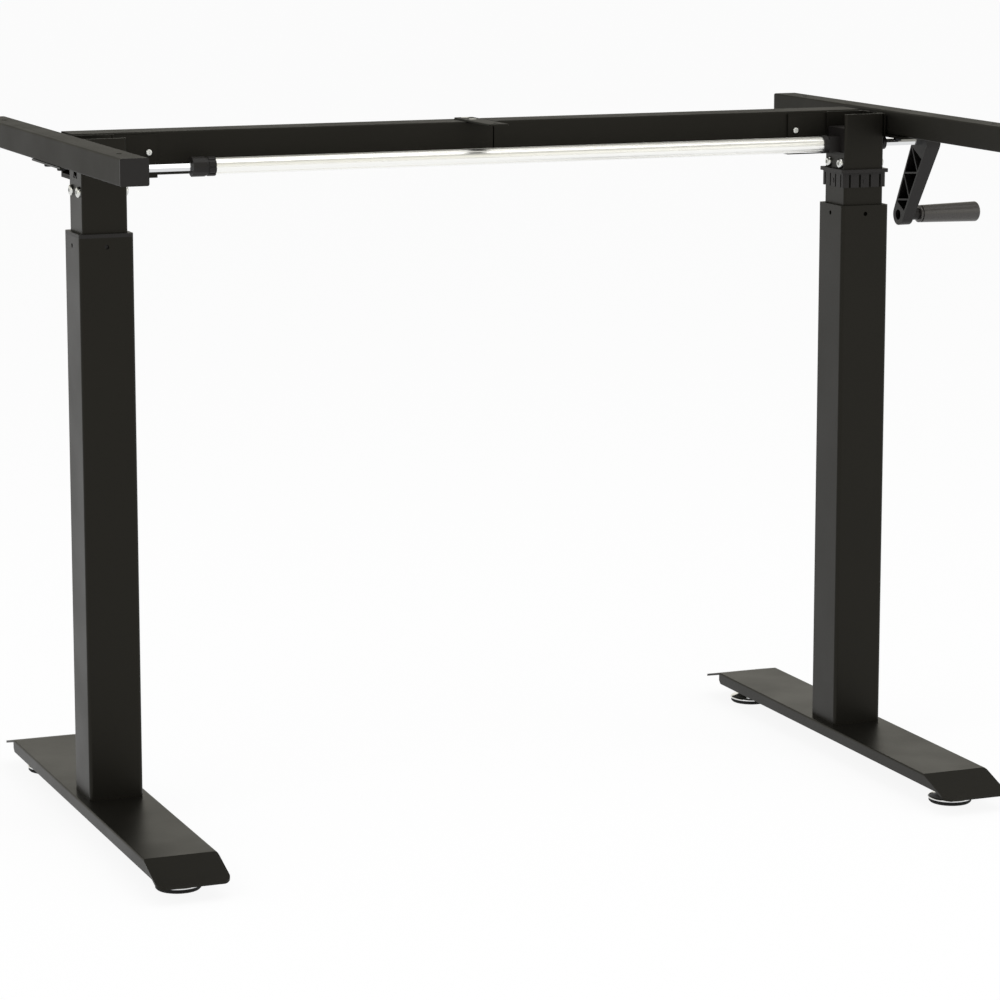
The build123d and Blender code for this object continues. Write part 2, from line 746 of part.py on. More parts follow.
def crossbar_half(side):
    """One half of the crossbar, from its column to the seam."""
    outer_x = leg_x[side] + outward[side] * crossbar_end
    start, stop = sorted((outer_x, seam_x + outward[side] * seam_gap / 2))
    section = square_tube(crossbar_height, crossbar_depth, crossbar_corner, crossbar_wall, stop - start)
    shape = Pos(start, crossbar_middle_y, crossbar_middle_z) * Rot(0, 90, 0) * section
    hole = pan_diameter / 2 + bolt_gap
    shape -= rod_y(hole, crossbar_y - 1, crossbar_y + 2 * crossbar_wall, cradle_screw_x(side),
                   crossbar_top - cradle_screw_drop)
    sleeve_screw_x = seam_x + outward[side] * sleeve_screw_spacing / 2
    shape -= rod_y(hole, crossbar_back - 2 * crossbar_wall, crossbar_back + 1, sleeve_screw_x,
                   crossbar_middle_z)
    if side == "left":
        for y in strap_screw_places():
            shape -= rod_z(screw_diameter / 2 + bolt_gap, crossbar_top - 2 * crossbar_wall,
                           crossbar_top + 1, strap_x, y)
    return shape


def joiner_sleeve():
    """The tube inside the crossbar that joins its halves."""
    size_y = crossbar_depth - 2 * crossbar_wall - 2 * assembly_gap
    size_z = crossbar_height - 2 * crossbar_wall - 2 * assembly_gap
    section = square_tube(size_z, size_y, crossbar_corner, sleeve_wall, sleeve_length)
    shape = Pos(seam_x - sleeve_length / 2, crossbar_middle_y, crossbar_middle_z) * Rot(0, 90, 0) * section
    back_reach = 2 * crossbar_wall + sleeve_wall
    for side in sides:
        x = seam_x + outward[side] * sleeve_screw_spacing / 2
        shape -= rod_y(pan_diameter / 2 + bolt_gap, crossbar_back - back_reach, crossbar_back, x,
                       crossbar_middle_z)
    for y in strap_screw_places():
        shape -= rod_z(screw_diameter / 2 + bolt_gap, crossbar_top - back_reach, crossbar_top, strap_x, y)
    return shape


def crossbar_screws():
    """The screws that hold the crossbar in its cradles and on its joiner sleeve."""
    screw = pan_screw()
    shapes = []
    for side in sides:
        front = Pos(cradle_screw_x(side), cradle_y, crossbar_top - cradle_screw_drop)
        shapes.append(front * Rot(90, 0, 0) * screw)
        behind = Pos(seam_x + outward[side] * sleeve_screw_spacing / 2, crossbar_back, crossbar_middle_z)
        shapes.append(behind * Rot(-90, 0, 0) * screw)
    return group(shapes)


def strap_screw_places():
    """Where the strap's screws stand along Y, on the crossbar's middle."""
    return (crossbar_middle_y - strap_screw_spacing / 2, crossbar_middle_y + strap_screw_spacing / 2)


def flat_head(grow):
    """The conical head of a countersunk screw, flush with the strap's top."""
    return Pos(0, 0, -strap_thickness) * Cone(screw_diameter / 2 + grow, flat_head_diameter / 2 + grow,
                                              strap_thickness, align=(Align.CENTER, Align.CENTER, Align.MIN))


def centre_strap():
    """The flat plate on the crossbar that reaches forward under the tabletop."""
    length = strap_front + strap_back
    plate = extrude(RectangleRounded(strap_width, length, strap_thickness), -strap_thickness)
    plate = fillet(plate.edges().group_by(Axis.Z)[-1], strap_thickness / 3)
    shape = Pos(strap_x, (strap_back - strap_front) / 2, bars_top) * plate
    hole_y = strap_hole_inset - strap_front
    shape -= rod_z(strap_hole_diameter / 2, crossbar_top - 1, bars_top + 1, strap_x, hole_y)
    for y in strap_screw_places():
        shape -= Pos(strap_x, y, bars_top) * flat_head(fit_gap)
    return shape


def strap_screws():
    """The countersunk screws that hold the strap on the crossbar."""
    screw = flat_head(0) + rod_z(screw_diameter / 2, -screw_length, -strap_thickness)
    return group(Pos(strap_x, y, bars_top) * screw for y in strap_screw_places())


def drive_tube():
    """The grooved aluminium tube between the legs, with a six-sided bore."""
    radius = drive_tube_diameter / 2
    outline = Circle(radius)
    for place in PolarLocations(radius, drive_groove_count):
        outline -= place * Circle(drive_groove_radius)
    outline -= RegularPolygon(hex_flats / 2 + assembly_gap, 6, major_radius=False, rotation=30)
    length = tube_right_x - tube_left_x
    return Pos(tube_left_x, 0, drive_z) * Rot(0, 90, 0) * extrude(outline, length)


def clamp_nut():
    """The faceted nut that locks the rod in the drive tube, with slits round its mouth."""
    outline = RegularPolygon(clamp_diameter / 2, clamp_sides, major_radius=False)
    shape = Rot(0, 90, 0) * extrude(outline, clamp_length)
    groove = rod_x(clamp_diameter, clamp_groove_start, clamp_groove_start + clamp_groove_width)
    groove -= rod_x(clamp_diameter / 2 - clamp_groove_depth, 0, clamp_length)
    shape -= groove
    slit_start = clamp_groove_start + clamp_groove_width
    slit_floor = clamp_diameter / 2 - clamp_slit_depth
    slit_half = clamp_slit_width / 2
    slit = block(slit_start, clamp_length + 1, -slit_half, slit_half, slit_floor, clamp_diameter)
    for turn in range(clamp_slit_count):
        shape -= Rot(360 * turn / clamp_slit_count, 0, 0) * slit
    shape -= rod_x(drive_tube_diameter / 2 + fit_gap, clamp_rod_end, clamp_length + 1)
    shape -= hex_x(hex_flats + 2 * assembly_gap, -1, clamp_length)
    return Pos(clamp_x, 0, drive_z) * shape


def hex_rod():
    """The rod from the left gearbox into the drive tube."""
    return hex_x(hex_flats, leg_x["left"] - rod_end, tube_left_x + hex_rod_grip, drive_z)


def hex_shaft():
    """The shaft from the drive tube, through the right gearbox, to the crank."""
    return hex_x(hex_flats, tube_right_x - hex_shaft_grip, crank_x + crank_socket_depth, drive_z)


def drive_collars():
    """The collars on the drive line: at the tube's right end and on the shaft."""
    right = leg_x["right"]
    ring = rod_x(ring_collar_diameter / 2, right - tube_right_end, right - collar_start, z=drive_z)
    ring -= rod_x(pinion_journal_diameter / 2 + fit_gap, right - tube_right_end - 1, right, z=drive_z)
    shaft_start = right + shaft_collar_offset
    shaft_ring = rod_x(shaft_collar_diameter / 2, shaft_start, shaft_start + shaft_collar_length, z=drive_z)
    bore = hex_x(hex_flats + 2 * fit_gap, right, crank_x, drive_z)
    return group([ring, shaft_ring - bore])


def crank_frame(shape):
    """Turns a shape made with the crank hanging straight down to where it hangs, and moves it there."""
    return Pos(crank_x, 0, drive_z) * Rot(crank_rest_angle, 0, 0) * shape


def crank_profile(back):
    """The crank's side outline, thicker at the hub, cut back from its outer face."""
    top = crank_hub_width
    low = -crank_length - crank_hub_width
    taper = (crank_hub_thickness - crank_end_thickness) / crank_length
    outline = [(0, top), (crank_hub_thickness + taper * top - back, top),
               (crank_hub_thickness + taper * low - back, low), (0, low)]
    return extrude(Plane.XZ * make_face(Polyline(*outline, close=True)), crank_hub_width, both=True)


def crank_arm():
    """The crank: an open channel with zigzag ribs, a socket for the shaft and a neck for the grip."""
    hub = Circle(crank_hub_width / 2)
    end = Pos(0, -crank_length) * Circle(crank_end_width / 2)
    outline = Plane.YZ * make_hull(hub.edges() + end.edges())
    shape = extrude(outline, crank_hub_thickness * 2) & crank_profile(0)
    pocket_top = -crank_hub_width / 2
    pocket_low = crank_end_width / 2 - crank_length
    half = crank_hub_width / 2 - crank_side
    low_half = crank_end_width / 2 - crank_side
    pocket_face = face_yz([(-half, pocket_top), (half, pocket_top), (low_half, pocket_low),
                           (-low_half, pocket_low)])
    pocket = extrude(pocket_face, crank_hub_thickness * 2, both=True) & crank_profile(crank_back)
    ribs = []
    step = (pocket_top - pocket_low) / crank_rib_count
    lean = math.degrees(math.atan2(2 * half, step))
    for index in range(crank_rib_count):
        rib = Box(crank_hub_thickness * 2, 2 * math.hypot(2 * half, step), crank_rib)
        turn = lean if index % 2 else -lean
        cell_top = pocket_top - index * step
        cell = block(0, crank_hub_thickness, -half, half, cell_top - step, cell_top)
        ribs.append(Pos(0, 0, cell_top - step / 2) * Rot(90 + turn, 0, 0) * rib & cell & pocket)
    shape -= pocket
    for rib in ribs:
        shape += rib
    neck_stop = crank_end_thickness + crank_neck_length
    shape += rod_x(crank_neck_diameter / 2, crank_end_thickness / 2, neck_stop, z=-crank_length)
    shape -= rod_x(pin_head_diameter / 2 + fit_gap, -1, pin_recess_depth, z=-crank_length)
    shape -= rod_x(pin_diameter / 2 + fit_gap, -1, neck_stop + 1, z=-crank_length)
    socket_stop = crank_x + crank_socket_depth + fit_gap
    return crank_frame(shape) - hex_x(hex_flats + 2 * fit_gap, crank_x - 1, socket_stop, drive_z)


def grip_pin():
    """The pin that the grip turns on."""
    stop = grip_stop - crank_offset - grip_end_wall - sliding_gap
    head_start = pin_recess_depth - pin_head_height
    shape = rod_x(pin_head_diameter / 2, head_start, pin_recess_depth, z=-crank_length)
    shape += rod_x(pin_diameter / 2, pin_recess_depth, stop, z=-crank_length)
    return crank_frame(shape)


def grip():
    """The handle: it widens towards its rounded end and has a groove near the arm."""
    start = grip_start - crank_offset
    radius = grip_start_diameter / 2
    cone = Cone(radius, grip_end_diameter / 2, grip_length, align=(Align.CENTER, Align.CENTER, Align.MIN))
    shape = Pos(start, 0, 0) * Rot(0, 90, 0) * cone
    shape = fillet(shape.edges().group_by(Axis.X)[-1], grip_end_radius)
    groove_start = start + grip_groove_offset
    groove = rod_x(2 * radius, groove_start, groove_start + grip_groove_width)
    groove -= rod_x(radius - grip_groove_depth, start, start + grip_length)
    shape -= groove
    shape -= rod_x(pin_diameter / 2 + sliding_gap, start - 1, start + grip_length - grip_end_wall)
    return crank_frame(Pos(0, 0, -crank_length) * shape)


def build_nodes():
    """Every piece of the frame, by name."""
    nodes = {}
    for side in sides:
        nodes[f"foot_{side}"] = foot(side)
        nodes[f"outer_tube_{side}"] = outer_tube(side)
        nodes[f"base_plate_{side}"] = base_plate(side)
        nodes[f"nut_post_{side}"] = nut_post(side)
        nodes[f"lift_nut_{side}"] = lift_nut(side)
        nodes[f"inner_column_{side}"] = inner_column(side)
        nodes[f"gearbox_housing_{side}"] = gearbox_housing(side)
        nodes[f"thrust_bearing_{side}"] = thrust_bearing(side)
        nodes[f"screw_gear_{side}"] = screw_gear(side)
        nodes[f"pinion_{side}"] = pinion(side)
        nodes[f"lead_screw_{side}"] = lead_screw(side)
        nodes[f"support_bar_{side}"] = support_bar(side)
        nodes[f"bar_bracket_{side}"] = bar_bracket(side)
        nodes[f"cradle_{side}"] = cradle(side)
        nodes[f"crossbar_{side}"] = crossbar_half(side)
        for end, y_sign in ends.items():
            nodes[f"leveller_{end}_{side}"] = leveller_post(leg_x[side], y_sign * leveller_y)
            nodes[f"leveller_pad_{end}_{side}"] = leveller_pad(leg_x[side], y_sign * leveller_y)
    nodes["guide_bush_left"] = guide_bush("left", 0)
    nodes["guide_bush_right"] = guide_bush("right", bush_raise)
    nodes["foot_bolts"] = foot_bolts()
    nodes["leveller_nuts"] = leveller_nuts()
    nodes["column_glides"] = column_glides()
    nodes["gearbox_covers"] = gearbox_covers()
    nodes["gearbox_screws"] = gearbox_screws()
    nodes["shaft_bushes"] = shaft_bushes()
    nodes["bar_end_caps"] = bar_end_caps()
    nodes["bar_screws"] = bar_screws()
    nodes["joiner_sleeve"] = joiner_sleeve()
    nodes["crossbar_screws"] = crossbar_screws()
    nodes["centre_strap"] = centre_strap()
    nodes["strap_screws"] = strap_screws()
    nodes["drive_tube"] = drive_tube()
    nodes["clamp_nut"] = clamp_nut()
    nodes["hex_rod"] = hex_rod()
    nodes["hex_shaft"] = hex_shaft()
    nodes["drive_collars"] = drive_collars()
    nodes["crank_arm"] = crank_arm()
    nodes["grip_pin"] = grip_pin()
    nodes["grip"] = grip()
    return nodes


os.makedirs("parts", exist_ok=True)
for name, shape in build_nodes().items():
    export_step(shape, f"parts/{name}.step")
print(f"left leg at X {leg_x['left']:.2f}, right leg at X {leg_x['right']:.2f}")
print(f"drive axis at Z {drive_z:.2f}")
print(f"crank at X {crank_x:.2f}, tube top at Z {tube_top:.2f}, bars' top at Z {bars_top:.2f}")
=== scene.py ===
# %% [markdown]
# # A hand-crank desk frame
# The object is the steel frame of a standing desk: two telescopic legs on pressed feet, a crossbar and
# two bars for a tabletop, and a crank that lifts both legs through one long drive tube.
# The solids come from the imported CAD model, in metres. This script dresses them: it gives each one its
# real finish, and replaces a few small pieces by finer surfaces worked out with numpy.

# %% Load the frame
import json
import math

import bpy
import numpy as np
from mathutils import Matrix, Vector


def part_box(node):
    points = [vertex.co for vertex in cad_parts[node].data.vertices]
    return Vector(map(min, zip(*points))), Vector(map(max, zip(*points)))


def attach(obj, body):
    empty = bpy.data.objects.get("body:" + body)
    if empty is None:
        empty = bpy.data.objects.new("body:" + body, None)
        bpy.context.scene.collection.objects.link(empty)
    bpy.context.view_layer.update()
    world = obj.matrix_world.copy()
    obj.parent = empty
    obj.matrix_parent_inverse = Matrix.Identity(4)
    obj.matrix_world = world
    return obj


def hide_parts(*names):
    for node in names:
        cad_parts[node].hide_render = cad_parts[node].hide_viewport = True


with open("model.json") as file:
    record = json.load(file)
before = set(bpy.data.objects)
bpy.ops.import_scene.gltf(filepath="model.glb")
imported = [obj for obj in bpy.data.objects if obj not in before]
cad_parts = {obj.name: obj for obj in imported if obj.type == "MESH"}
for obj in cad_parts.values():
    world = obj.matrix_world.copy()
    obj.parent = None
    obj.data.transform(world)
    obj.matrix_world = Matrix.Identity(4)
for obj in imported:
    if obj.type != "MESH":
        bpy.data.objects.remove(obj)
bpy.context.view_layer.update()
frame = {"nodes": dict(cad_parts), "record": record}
nodes = frame["nodes"]
MM = 0.001

# %% [markdown]
# ## Camera
# The picture was taken from the front left, at about the height of a standing person's chest, with a
# long lens. A camera could be placed by eye; here it was fitted to the edges of the legs, feet and bars.
# The photograph's uprights are almost parallel, which a small downward lens shift helps to keep.

# %% Camera
lens_mm = 129.63
sensor_mm = 36.0
lens_shift = -0.06
turn_right = 21.98
look_down = 9.575
camera_place = (-1.5568, -3.7177, 1.0766)
frame_middle = (0.0, 0.0, 0.4)
lens = bpy.data.cameras.new("product_camera")
lens.lens = lens_mm
lens.sensor_width = sensor_mm
lens.shift_y = lens_shift
camera = bpy.data.objects.new("product_camera", lens)
camera.location = camera_place
camera.rotation_euler = (math.radians(90 - look_down), 0, math.radians(-turn_right))
bpy.context.scene.collection.objects.link(camera)
bpy.context.scene.camera = camera
print("camera stands", round(math.dist(camera_place, frame_middle), 2), "m from the frame")

# %% [markdown]
# ## Two helpers for node trees
# Every finish below is a small tree of shader nodes. One function adds a node, sets what it is given and
# links what is already a socket. Colours are written as on a paint card, in sRGB hex, and a second
# function turns them into the linear values that the renderer works with.

# %% Node helpers
def add_node(tree, kind, inputs=None, **settings):
    """Adds one node. A socket among the inputs is linked, and any other value is set."""
    node = tree.nodes.new(kind)
    for name, value in settings.items():
        setattr(node, name, value)
    for name, value in (inputs or {}).items():
        if isinstance(value, bpy.types.NodeSocket):
            tree.links.new(value, node.inputs[name])
        else:
            node.inputs[name].default_value = value
    return node


def linear(hex_colour):
    """sRGB hex to linear: v / 12.92 below 0.04045, else ((v + 0.055) / 1.055) to the power 2.4."""
    srgb = np.array([int(hex_colour[i:i + 2], 16) for i in (1, 3, 5)]) / 255
    value = np.where(srgb <= 0.04045, srgb / 12.92, ((srgb + 0.055) / 1.055) ** 2.4)
    return (*value.tolist(), 1.0)


print("mid grey is", round(linear("#808080")[0], 3))

# %% [markdown]
# ## Studio
# A product picture is taken on a white sweep under large soft boxes. The world lights the frame from all
# round at a plain level. The camera sees it as pure white. Mirror rays see a warm white room near the
# horizon and a dimmer ceiling overhead, which keeps the tops of black bars dark, as in the photograph.
# A picture of a studio could light it too; a few nodes do the same with nothing to load.

# %% World
scene = bpy.context.scene
scene.view_settings.view_transform = "Standard"
world = bpy.data.worlds.new("white_studio")
scene.world = world
world.use_nodes = True
world.node_tree.nodes.clear()


def white_to_the_eye(tree):
    """1 for camera, mirror and glass rays, and 0 for the rays that carry soft light."""
    path = add_node(tree, "ShaderNodeLightPath")
    seen = add_node(tree, "ShaderNodeMath",
                    {0: path.outputs["Is Camera Ray"], 1: path.outputs["Is Glossy Ray"]}, operation="MAXIMUM")
    seen = add_node(tree, "ShaderNodeMath", {0: seen.outputs[0], 1: path.outputs["Is Transmission Ray"]},
                    operation="MAXIMUM")
    return seen.outputs[0]


soft_light = 0.78
ceiling_light = 0.35
ceiling_starts = 0.2
ceiling_full = 0.6
soft = add_node(world.node_tree, "ShaderNodeBackground",
                {"Color": linear("#F7F7F7"), "Strength": soft_light})
direction = add_node(world.node_tree, "ShaderNodeTexCoord").outputs["Generated"]
rise = add_node(world.node_tree, "ShaderNodeSeparateXYZ", {0: direction}).outputs["Z"]
ceiling = add_node(world.node_tree, "ShaderNodeMapRange",
                   {"Value": rise, "From Min": ceiling_starts, "From Max": ceiling_full,
                    "To Min": 1.0, "To Max": ceiling_light})
white = add_node(world.node_tree, "ShaderNodeBackground",
                 {"Color": linear("#FFFCF0"), "Strength": ceiling.outputs[0]})
sky = add_node(world.node_tree, "ShaderNodeMixShader",
               {0: white_to_the_eye(world.node_tree), 1: soft.outputs[0], 2: white.outputs[0]})
backdrop = add_node(world.node_tree, "ShaderNodeBackground", {"Color": (1, 1, 1, 1), "Strength": 1.0})
to_camera = add_node(world.node_tree, "ShaderNodeLightPath").outputs["Is Camera Ray"]
seen_sky = add_node(world.node_tree, "ShaderNodeMixShader",
                    {0: to_camera, 1: sky.outputs[0], 2: backdrop.outputs[0]})
add_node(world.node_tree, "ShaderNodeOutputWorld", {"Surface": seen_sky.outputs[0]})
print("world strength", soft_light, "for soft light, and pure white for the camera")

# %% [markdown]
# The sweep under the frame is white paper. A lit sheet alone would come out grey, and a glowing one would
# lose the shadows under the feet, so the eye sees a mix of both: mostly glow, with a share of shading.

# %% Floor
floor_reach = 40.0
floor_glow = 0.9
floor_mesh = bpy.data.meshes.new("floor")
floor_corners = [(-floor_reach, -floor_reach, 0), (floor_reach, -floor_reach, 0),
                 (floor_reach, floor_reach, 0), (-floor_reach, floor_reach, 0)]
floor_mesh.from_pydata(floor_corners, [], [(0, 1, 2, 3)])
floor = bpy.data.objects.new("floor", floor_mesh)
scene.collection.objects.link(floor)

floor_paper = bpy.data.materials.new("white_paper_sweep")
floor_paper.use_nodes = True
tree = floor_paper.node_tree
tree.nodes.clear()
lit = add_node(tree, "ShaderNodeBsdfDiffuse", {"Color": linear("#F6F6F6")})
glow = add_node(tree, "ShaderNodeEmission", {"Color": (1, 1, 1, 1), "Strength": 1.0})
share = add_node(tree, "ShaderNodeMath", {0: white_to_the_eye(tree), 1: floor_glow}, operation="MULTIPLY")
paper = add_node(tree, "ShaderNodeMixShader", {0: share.outputs[0], 1: lit.outputs[0], 2: glow.outputs[0]})
add_node(tree, "ShaderNodeOutputMaterial", {"Surface": paper.outputs[0]})
floor_mesh.materials.append(floor_paper)
print("floor reaches", floor_reach, "m each way")

# %% [markdown]
# Three large soft boxes give the light a direction: one on each side and one above. Each is an area
# lamp with a place and a width in metres and a power in watts, turned to face the frame's middle.

# %% Soft boxes
soft_boxes = {
    "left_box": ((-2.6, -1.6, 2.4), 1.8, 20.0),
    "top_box": ((0.3, -0.6, 3.2), 2.4, 30.0),
    "right_box": ((2.8, -2.4, 1.8), 1.6, 12.0),
}
for name, (place, width, power) in soft_boxes.items():
    lamp = bpy.data.lights.new(name, "AREA")
    lamp.size = width
    lamp.energy = power
    box = bpy.data.objects.new(name, lamp)
    box.location = place
    aim = np.array(frame_middle) - np.array(place)
    yaw = math.atan2(-aim[0], aim[1])
    tilt = math.atan2(math.hypot(aim[0], aim[1]), -aim[2])
    box.rotation_euler = (tilt, 0, yaw)
    scene.collection.objects.link(box)
print(len(soft_boxes), "soft boxes")

# %% [markdown]
# ## Finishes
# Most of the frame is steel tube and sheet, sprayed with black polyester powder and baked. The melt
# leaves a faint orange peel. The legs and feet have the smooth kind, which mirrors the white room at a
# low angle; the bars and the crossbar have a fine-textured kind, so their tops stay dark. Either could be
# drawn as a picture; a noise pattern in the piece's own millimetres gives the same skin from every side.
# The peel's waves are about 1.5 mm on the real thing and are drawn at 3 mm, so that they show.

# %% Finish helpers
def new_finish(name):
    """A material with an empty tree and the piece's own coordinates, in millimetres."""
    material = bpy.data.materials.new(name)
    material.use_nodes = True
    tree = material.node_tree
    tree.nodes.clear()
    place = add_node(tree, "ShaderNodeTexCoord").outputs["Object"]
    in_mm = add_node(tree, "ShaderNodeVectorMath", {0: place, 1: (1000, 1000, 1000)}, operation="MULTIPLY")
    return material, tree, in_mm.outputs[0]


def drifting_gloss(tree, pattern, roughness, drift):
    """Roughness that follows a noise: its usual range, 0.3 to 0.7, becomes roughness - drift to + drift."""
    gloss = add_node(tree, "ShaderNodeMapRange",
                     {"Value": pattern.outputs[0], "From Min": 0.3, "From Max": 0.7,
                      "To Min": roughness - drift, "To Max": roughness + drift})
    return gloss.outputs[0]


def finish_with(tree, **inputs):
    """A Principled shader with these inputs, joined to the output."""
    names = {name.replace("_", " "): value for name, value in inputs.items()}
    shader = add_node(tree, "ShaderNodeBsdfPrincipled", names)
    add_node(tree, "ShaderNodeOutputMaterial", {"Surface": shader.outputs[0]})


print("finishes are drawn in millimetres, on each piece's own coordinates")

# %% Black powder coats
drift_mm = 90.0
peel_height = 0.4 * MM
grain_height = 0.2 * MM


def black_powder_coat(name, roughness, peel_mm, peel_depth):
    """Baked polyester powder on steel: near-black with a warm cast, and an orange peel of a given size."""
    material, tree, mm = new_finish(name)
    peel = add_node(tree, "ShaderNodeTexNoise", {"Vector": mm, "Scale": 1 / peel_mm, "Detail": 2.0})
    drift = add_node(tree, "ShaderNodeTexNoise", {"Vector": mm, "Scale": 1 / drift_mm, "Detail": 3.0})
    gloss = drifting_gloss(tree, drift, roughness, 0.04)
    skin = add_node(tree, "ShaderNodeBump", {"Height": peel.outputs[0], "Strength": peel_depth,
                                             "Distance": peel_height})
    tint = add_node(tree, "ShaderNodeMix", {"Factor": drift.outputs[0], "A": linear("#0D0C0A"),
                                            "B": linear("#12110E")}, data_type="RGBA")
    finish_with(tree, Base_Color=tint.outputs["Result"], Roughness=gloss, Specular_IOR_Level=0.2,
                Specular_Tint=linear("#FFFAEA"), Normal=skin.outputs[0])
    return material


finishes = {"black_powder_coat": black_powder_coat("smooth_black_powder_coat", 0.38, 3.0, 0.1),
            "textured_powder_coat": black_powder_coat("fine_textured_black_powder_coat", 0.57, 1.2, 0.3)}
print("coats", [coat.name for coat in finishes.values()])

# %% [markdown]
# The bushes, caps, collars, gearbox cases and the crank are injection-moulded nylon. The mould is spark
# eroded, which leaves a fine even grain of some 0.4 mm; it is drawn at 1 mm here, so that it shows.
# The grip is polypropylene from a smoother mould, so lights draw a clear streak along it.

# %% Moulded plastics
def moulded_plastic(name, colour, shine, roughness, grain_mm, grain_depth):
    """A moulded plastic: one even colour, with a fine grain from the mould."""
    material, tree, mm = new_finish(name)
    grain = add_node(tree, "ShaderNodeTexNoise", {"Vector": mm, "Scale": 1 / grain_mm, "Detail": 1.0})
    gloss = drifting_gloss(tree, grain, roughness, 0.05)
    skin = add_node(tree, "ShaderNodeBump", {"Height": grain.outputs[0], "Strength": grain_depth,
                                             "Distance": grain_height})
    finish_with(tree, Base_Color=linear(colour), Roughness=gloss, Specular_IOR_Level=shine,
                Normal=skin.outputs[0])
    return material


finishes["black_plastic"] = moulded_plastic("spark_grained_black_nylon", "#1B1918", 0.25, 0.46, 1.0, 0.3)
finishes["grip_plastic"] = moulded_plastic("satin_black_polypropylene", "#3A3734", 0.55, 0.3, 0.8, 0.02)
finishes["pad_rubber"] = moulded_plastic("black_pad_rubber", "#121212", 0.25, 0.72, 1.2, 0.3)
# Painted shade: the sleeve inside the crossbar gets a near-black, matt, dull colour so that the seam gap in
# front of it reads dark.
finishes["painted_shade_black"] = moulded_plastic("painted_shade_sleeve_black", "#050505", 0.1, 0.85, 2.0, 0.1)
print("plastics", [finishes[n].name for n in ("black_plastic", "grip_plastic", "pad_rubber")])

# %% [markdown]
# The bright metals differ in how they were finished. Zinc plate on the screws is pale and slightly
# cloudy; chrome on the cups and rods is a mirror; the drive tube is drawn aluminium, whose die leaves
# fine lines along it, a few tenths of a millimetre wide. The works inside are turned steel and bronze.

# %% Metals
def plated_metal(name, colour, roughness, cloud_mm, cloud):
    """A metal whose gloss drifts a little from place to place, in clouds of a given size."""
    material, tree, mm = new_finish(name)
    clouds = add_node(tree, "ShaderNodeTexNoise", {"Vector": mm, "Scale": 1 / cloud_mm, "Detail": 3.0})
    gloss = drifting_gloss(tree, clouds, roughness, cloud)
    finish_with(tree, Base_Color=linear(colour), Metallic=1.0, Roughness=gloss)
    return material


def drawn_aluminium():
    """Drawn tube: bright and satin, with die lines along X about 0.5 mm wide and 300 mm long."""
    material, tree, mm = new_finish("drawn_aluminium")
    line_length = 300.0
    line_width = 0.5
    along = add_node(tree, "ShaderNodeVectorMath",
                     {0: mm, 1: (1 / line_length, 1 / line_width, 1 / line_width)}, operation="MULTIPLY")
    lines = add_node(tree, "ShaderNodeTexNoise", {"Vector": along.outputs[0], "Scale": 1.0, "Detail": 2.0})
    gloss = drifting_gloss(tree, lines, 0.33, 0.07)
    skin = add_node(tree, "ShaderNodeBump", {"Height": lines.outputs[0], "Strength": 0.15,
                                             "Distance": grain_height})
    finish_with(tree, Base_Color=linear("#FBFBF8"), Metallic=1.0, Roughness=gloss, Normal=skin.outputs[0])
    return material


finishes["bright_zinc"] = plated_metal("bright_zinc_plate", "#D6D7D4", 0.28, 6.0, 0.06)
finishes["chrome"] = plated_metal("chrome_plate", "#DCDDDE", 0.1, 20.0, 0.03)
finishes["steel"] = plated_metal("turned_steel", "#9A9A98", 0.34, 8.0, 0.06)
finishes["black_oxide"] = plated_metal("black_oxide_steel", "#2A2A2C", 0.38, 5.0, 0.06)
finishes["bronze"] = plated_metal("sintered_bronze", "#B08B4A", 0.42, 4.0, 0.06)
finishes["aluminium"] = drawn_aluminium()
print(len(finishes), "finishes")

# %% [markdown]
# Every solid of the frame takes the finish that its record names. Three groups differ from that: the
# pads are rubber; the bars, crossbar, cradles and strap have the fine-textured coat; and the sleeve
# inside the crossbar is painted near-black and matt as painted shade, so that the seam in front of it
# looks like a black line.

# %% Finish every solid
slot_of = {row["node"]: row["material_slot"] for row in frame["record"]["subparts"]}
special_finish = {"leveller_pad": "pad_rubber", "support_bar": "textured_powder_coat",
                  "crossbar_left": "textured_powder_coat", "crossbar_right": "textured_powder_coat",
                  "cradle": "textured_powder_coat", "centre_strap": "textured_powder_coat",
                  "joiner_sleeve": "painted_shade_black"}
for name, solid in nodes.items():
    special = [finish for start, finish in special_finish.items() if name.startswith(start)]
    solid.data.materials.clear()
    solid.data.materials.append(finishes[(special + [slot_of[name]])[0]])
print("finished", len(nodes), "solids")

# %% [markdown]
# ## Turned pieces
# The levelling feet and the grip are round. Each could be spun from a curve with a modifier, but a thread
# is not quite round, so they are worked out as one grid: rows go along the axis and columns go round it.
# The first and the last row lie on the axis, where all their points are one, which closes the surface.

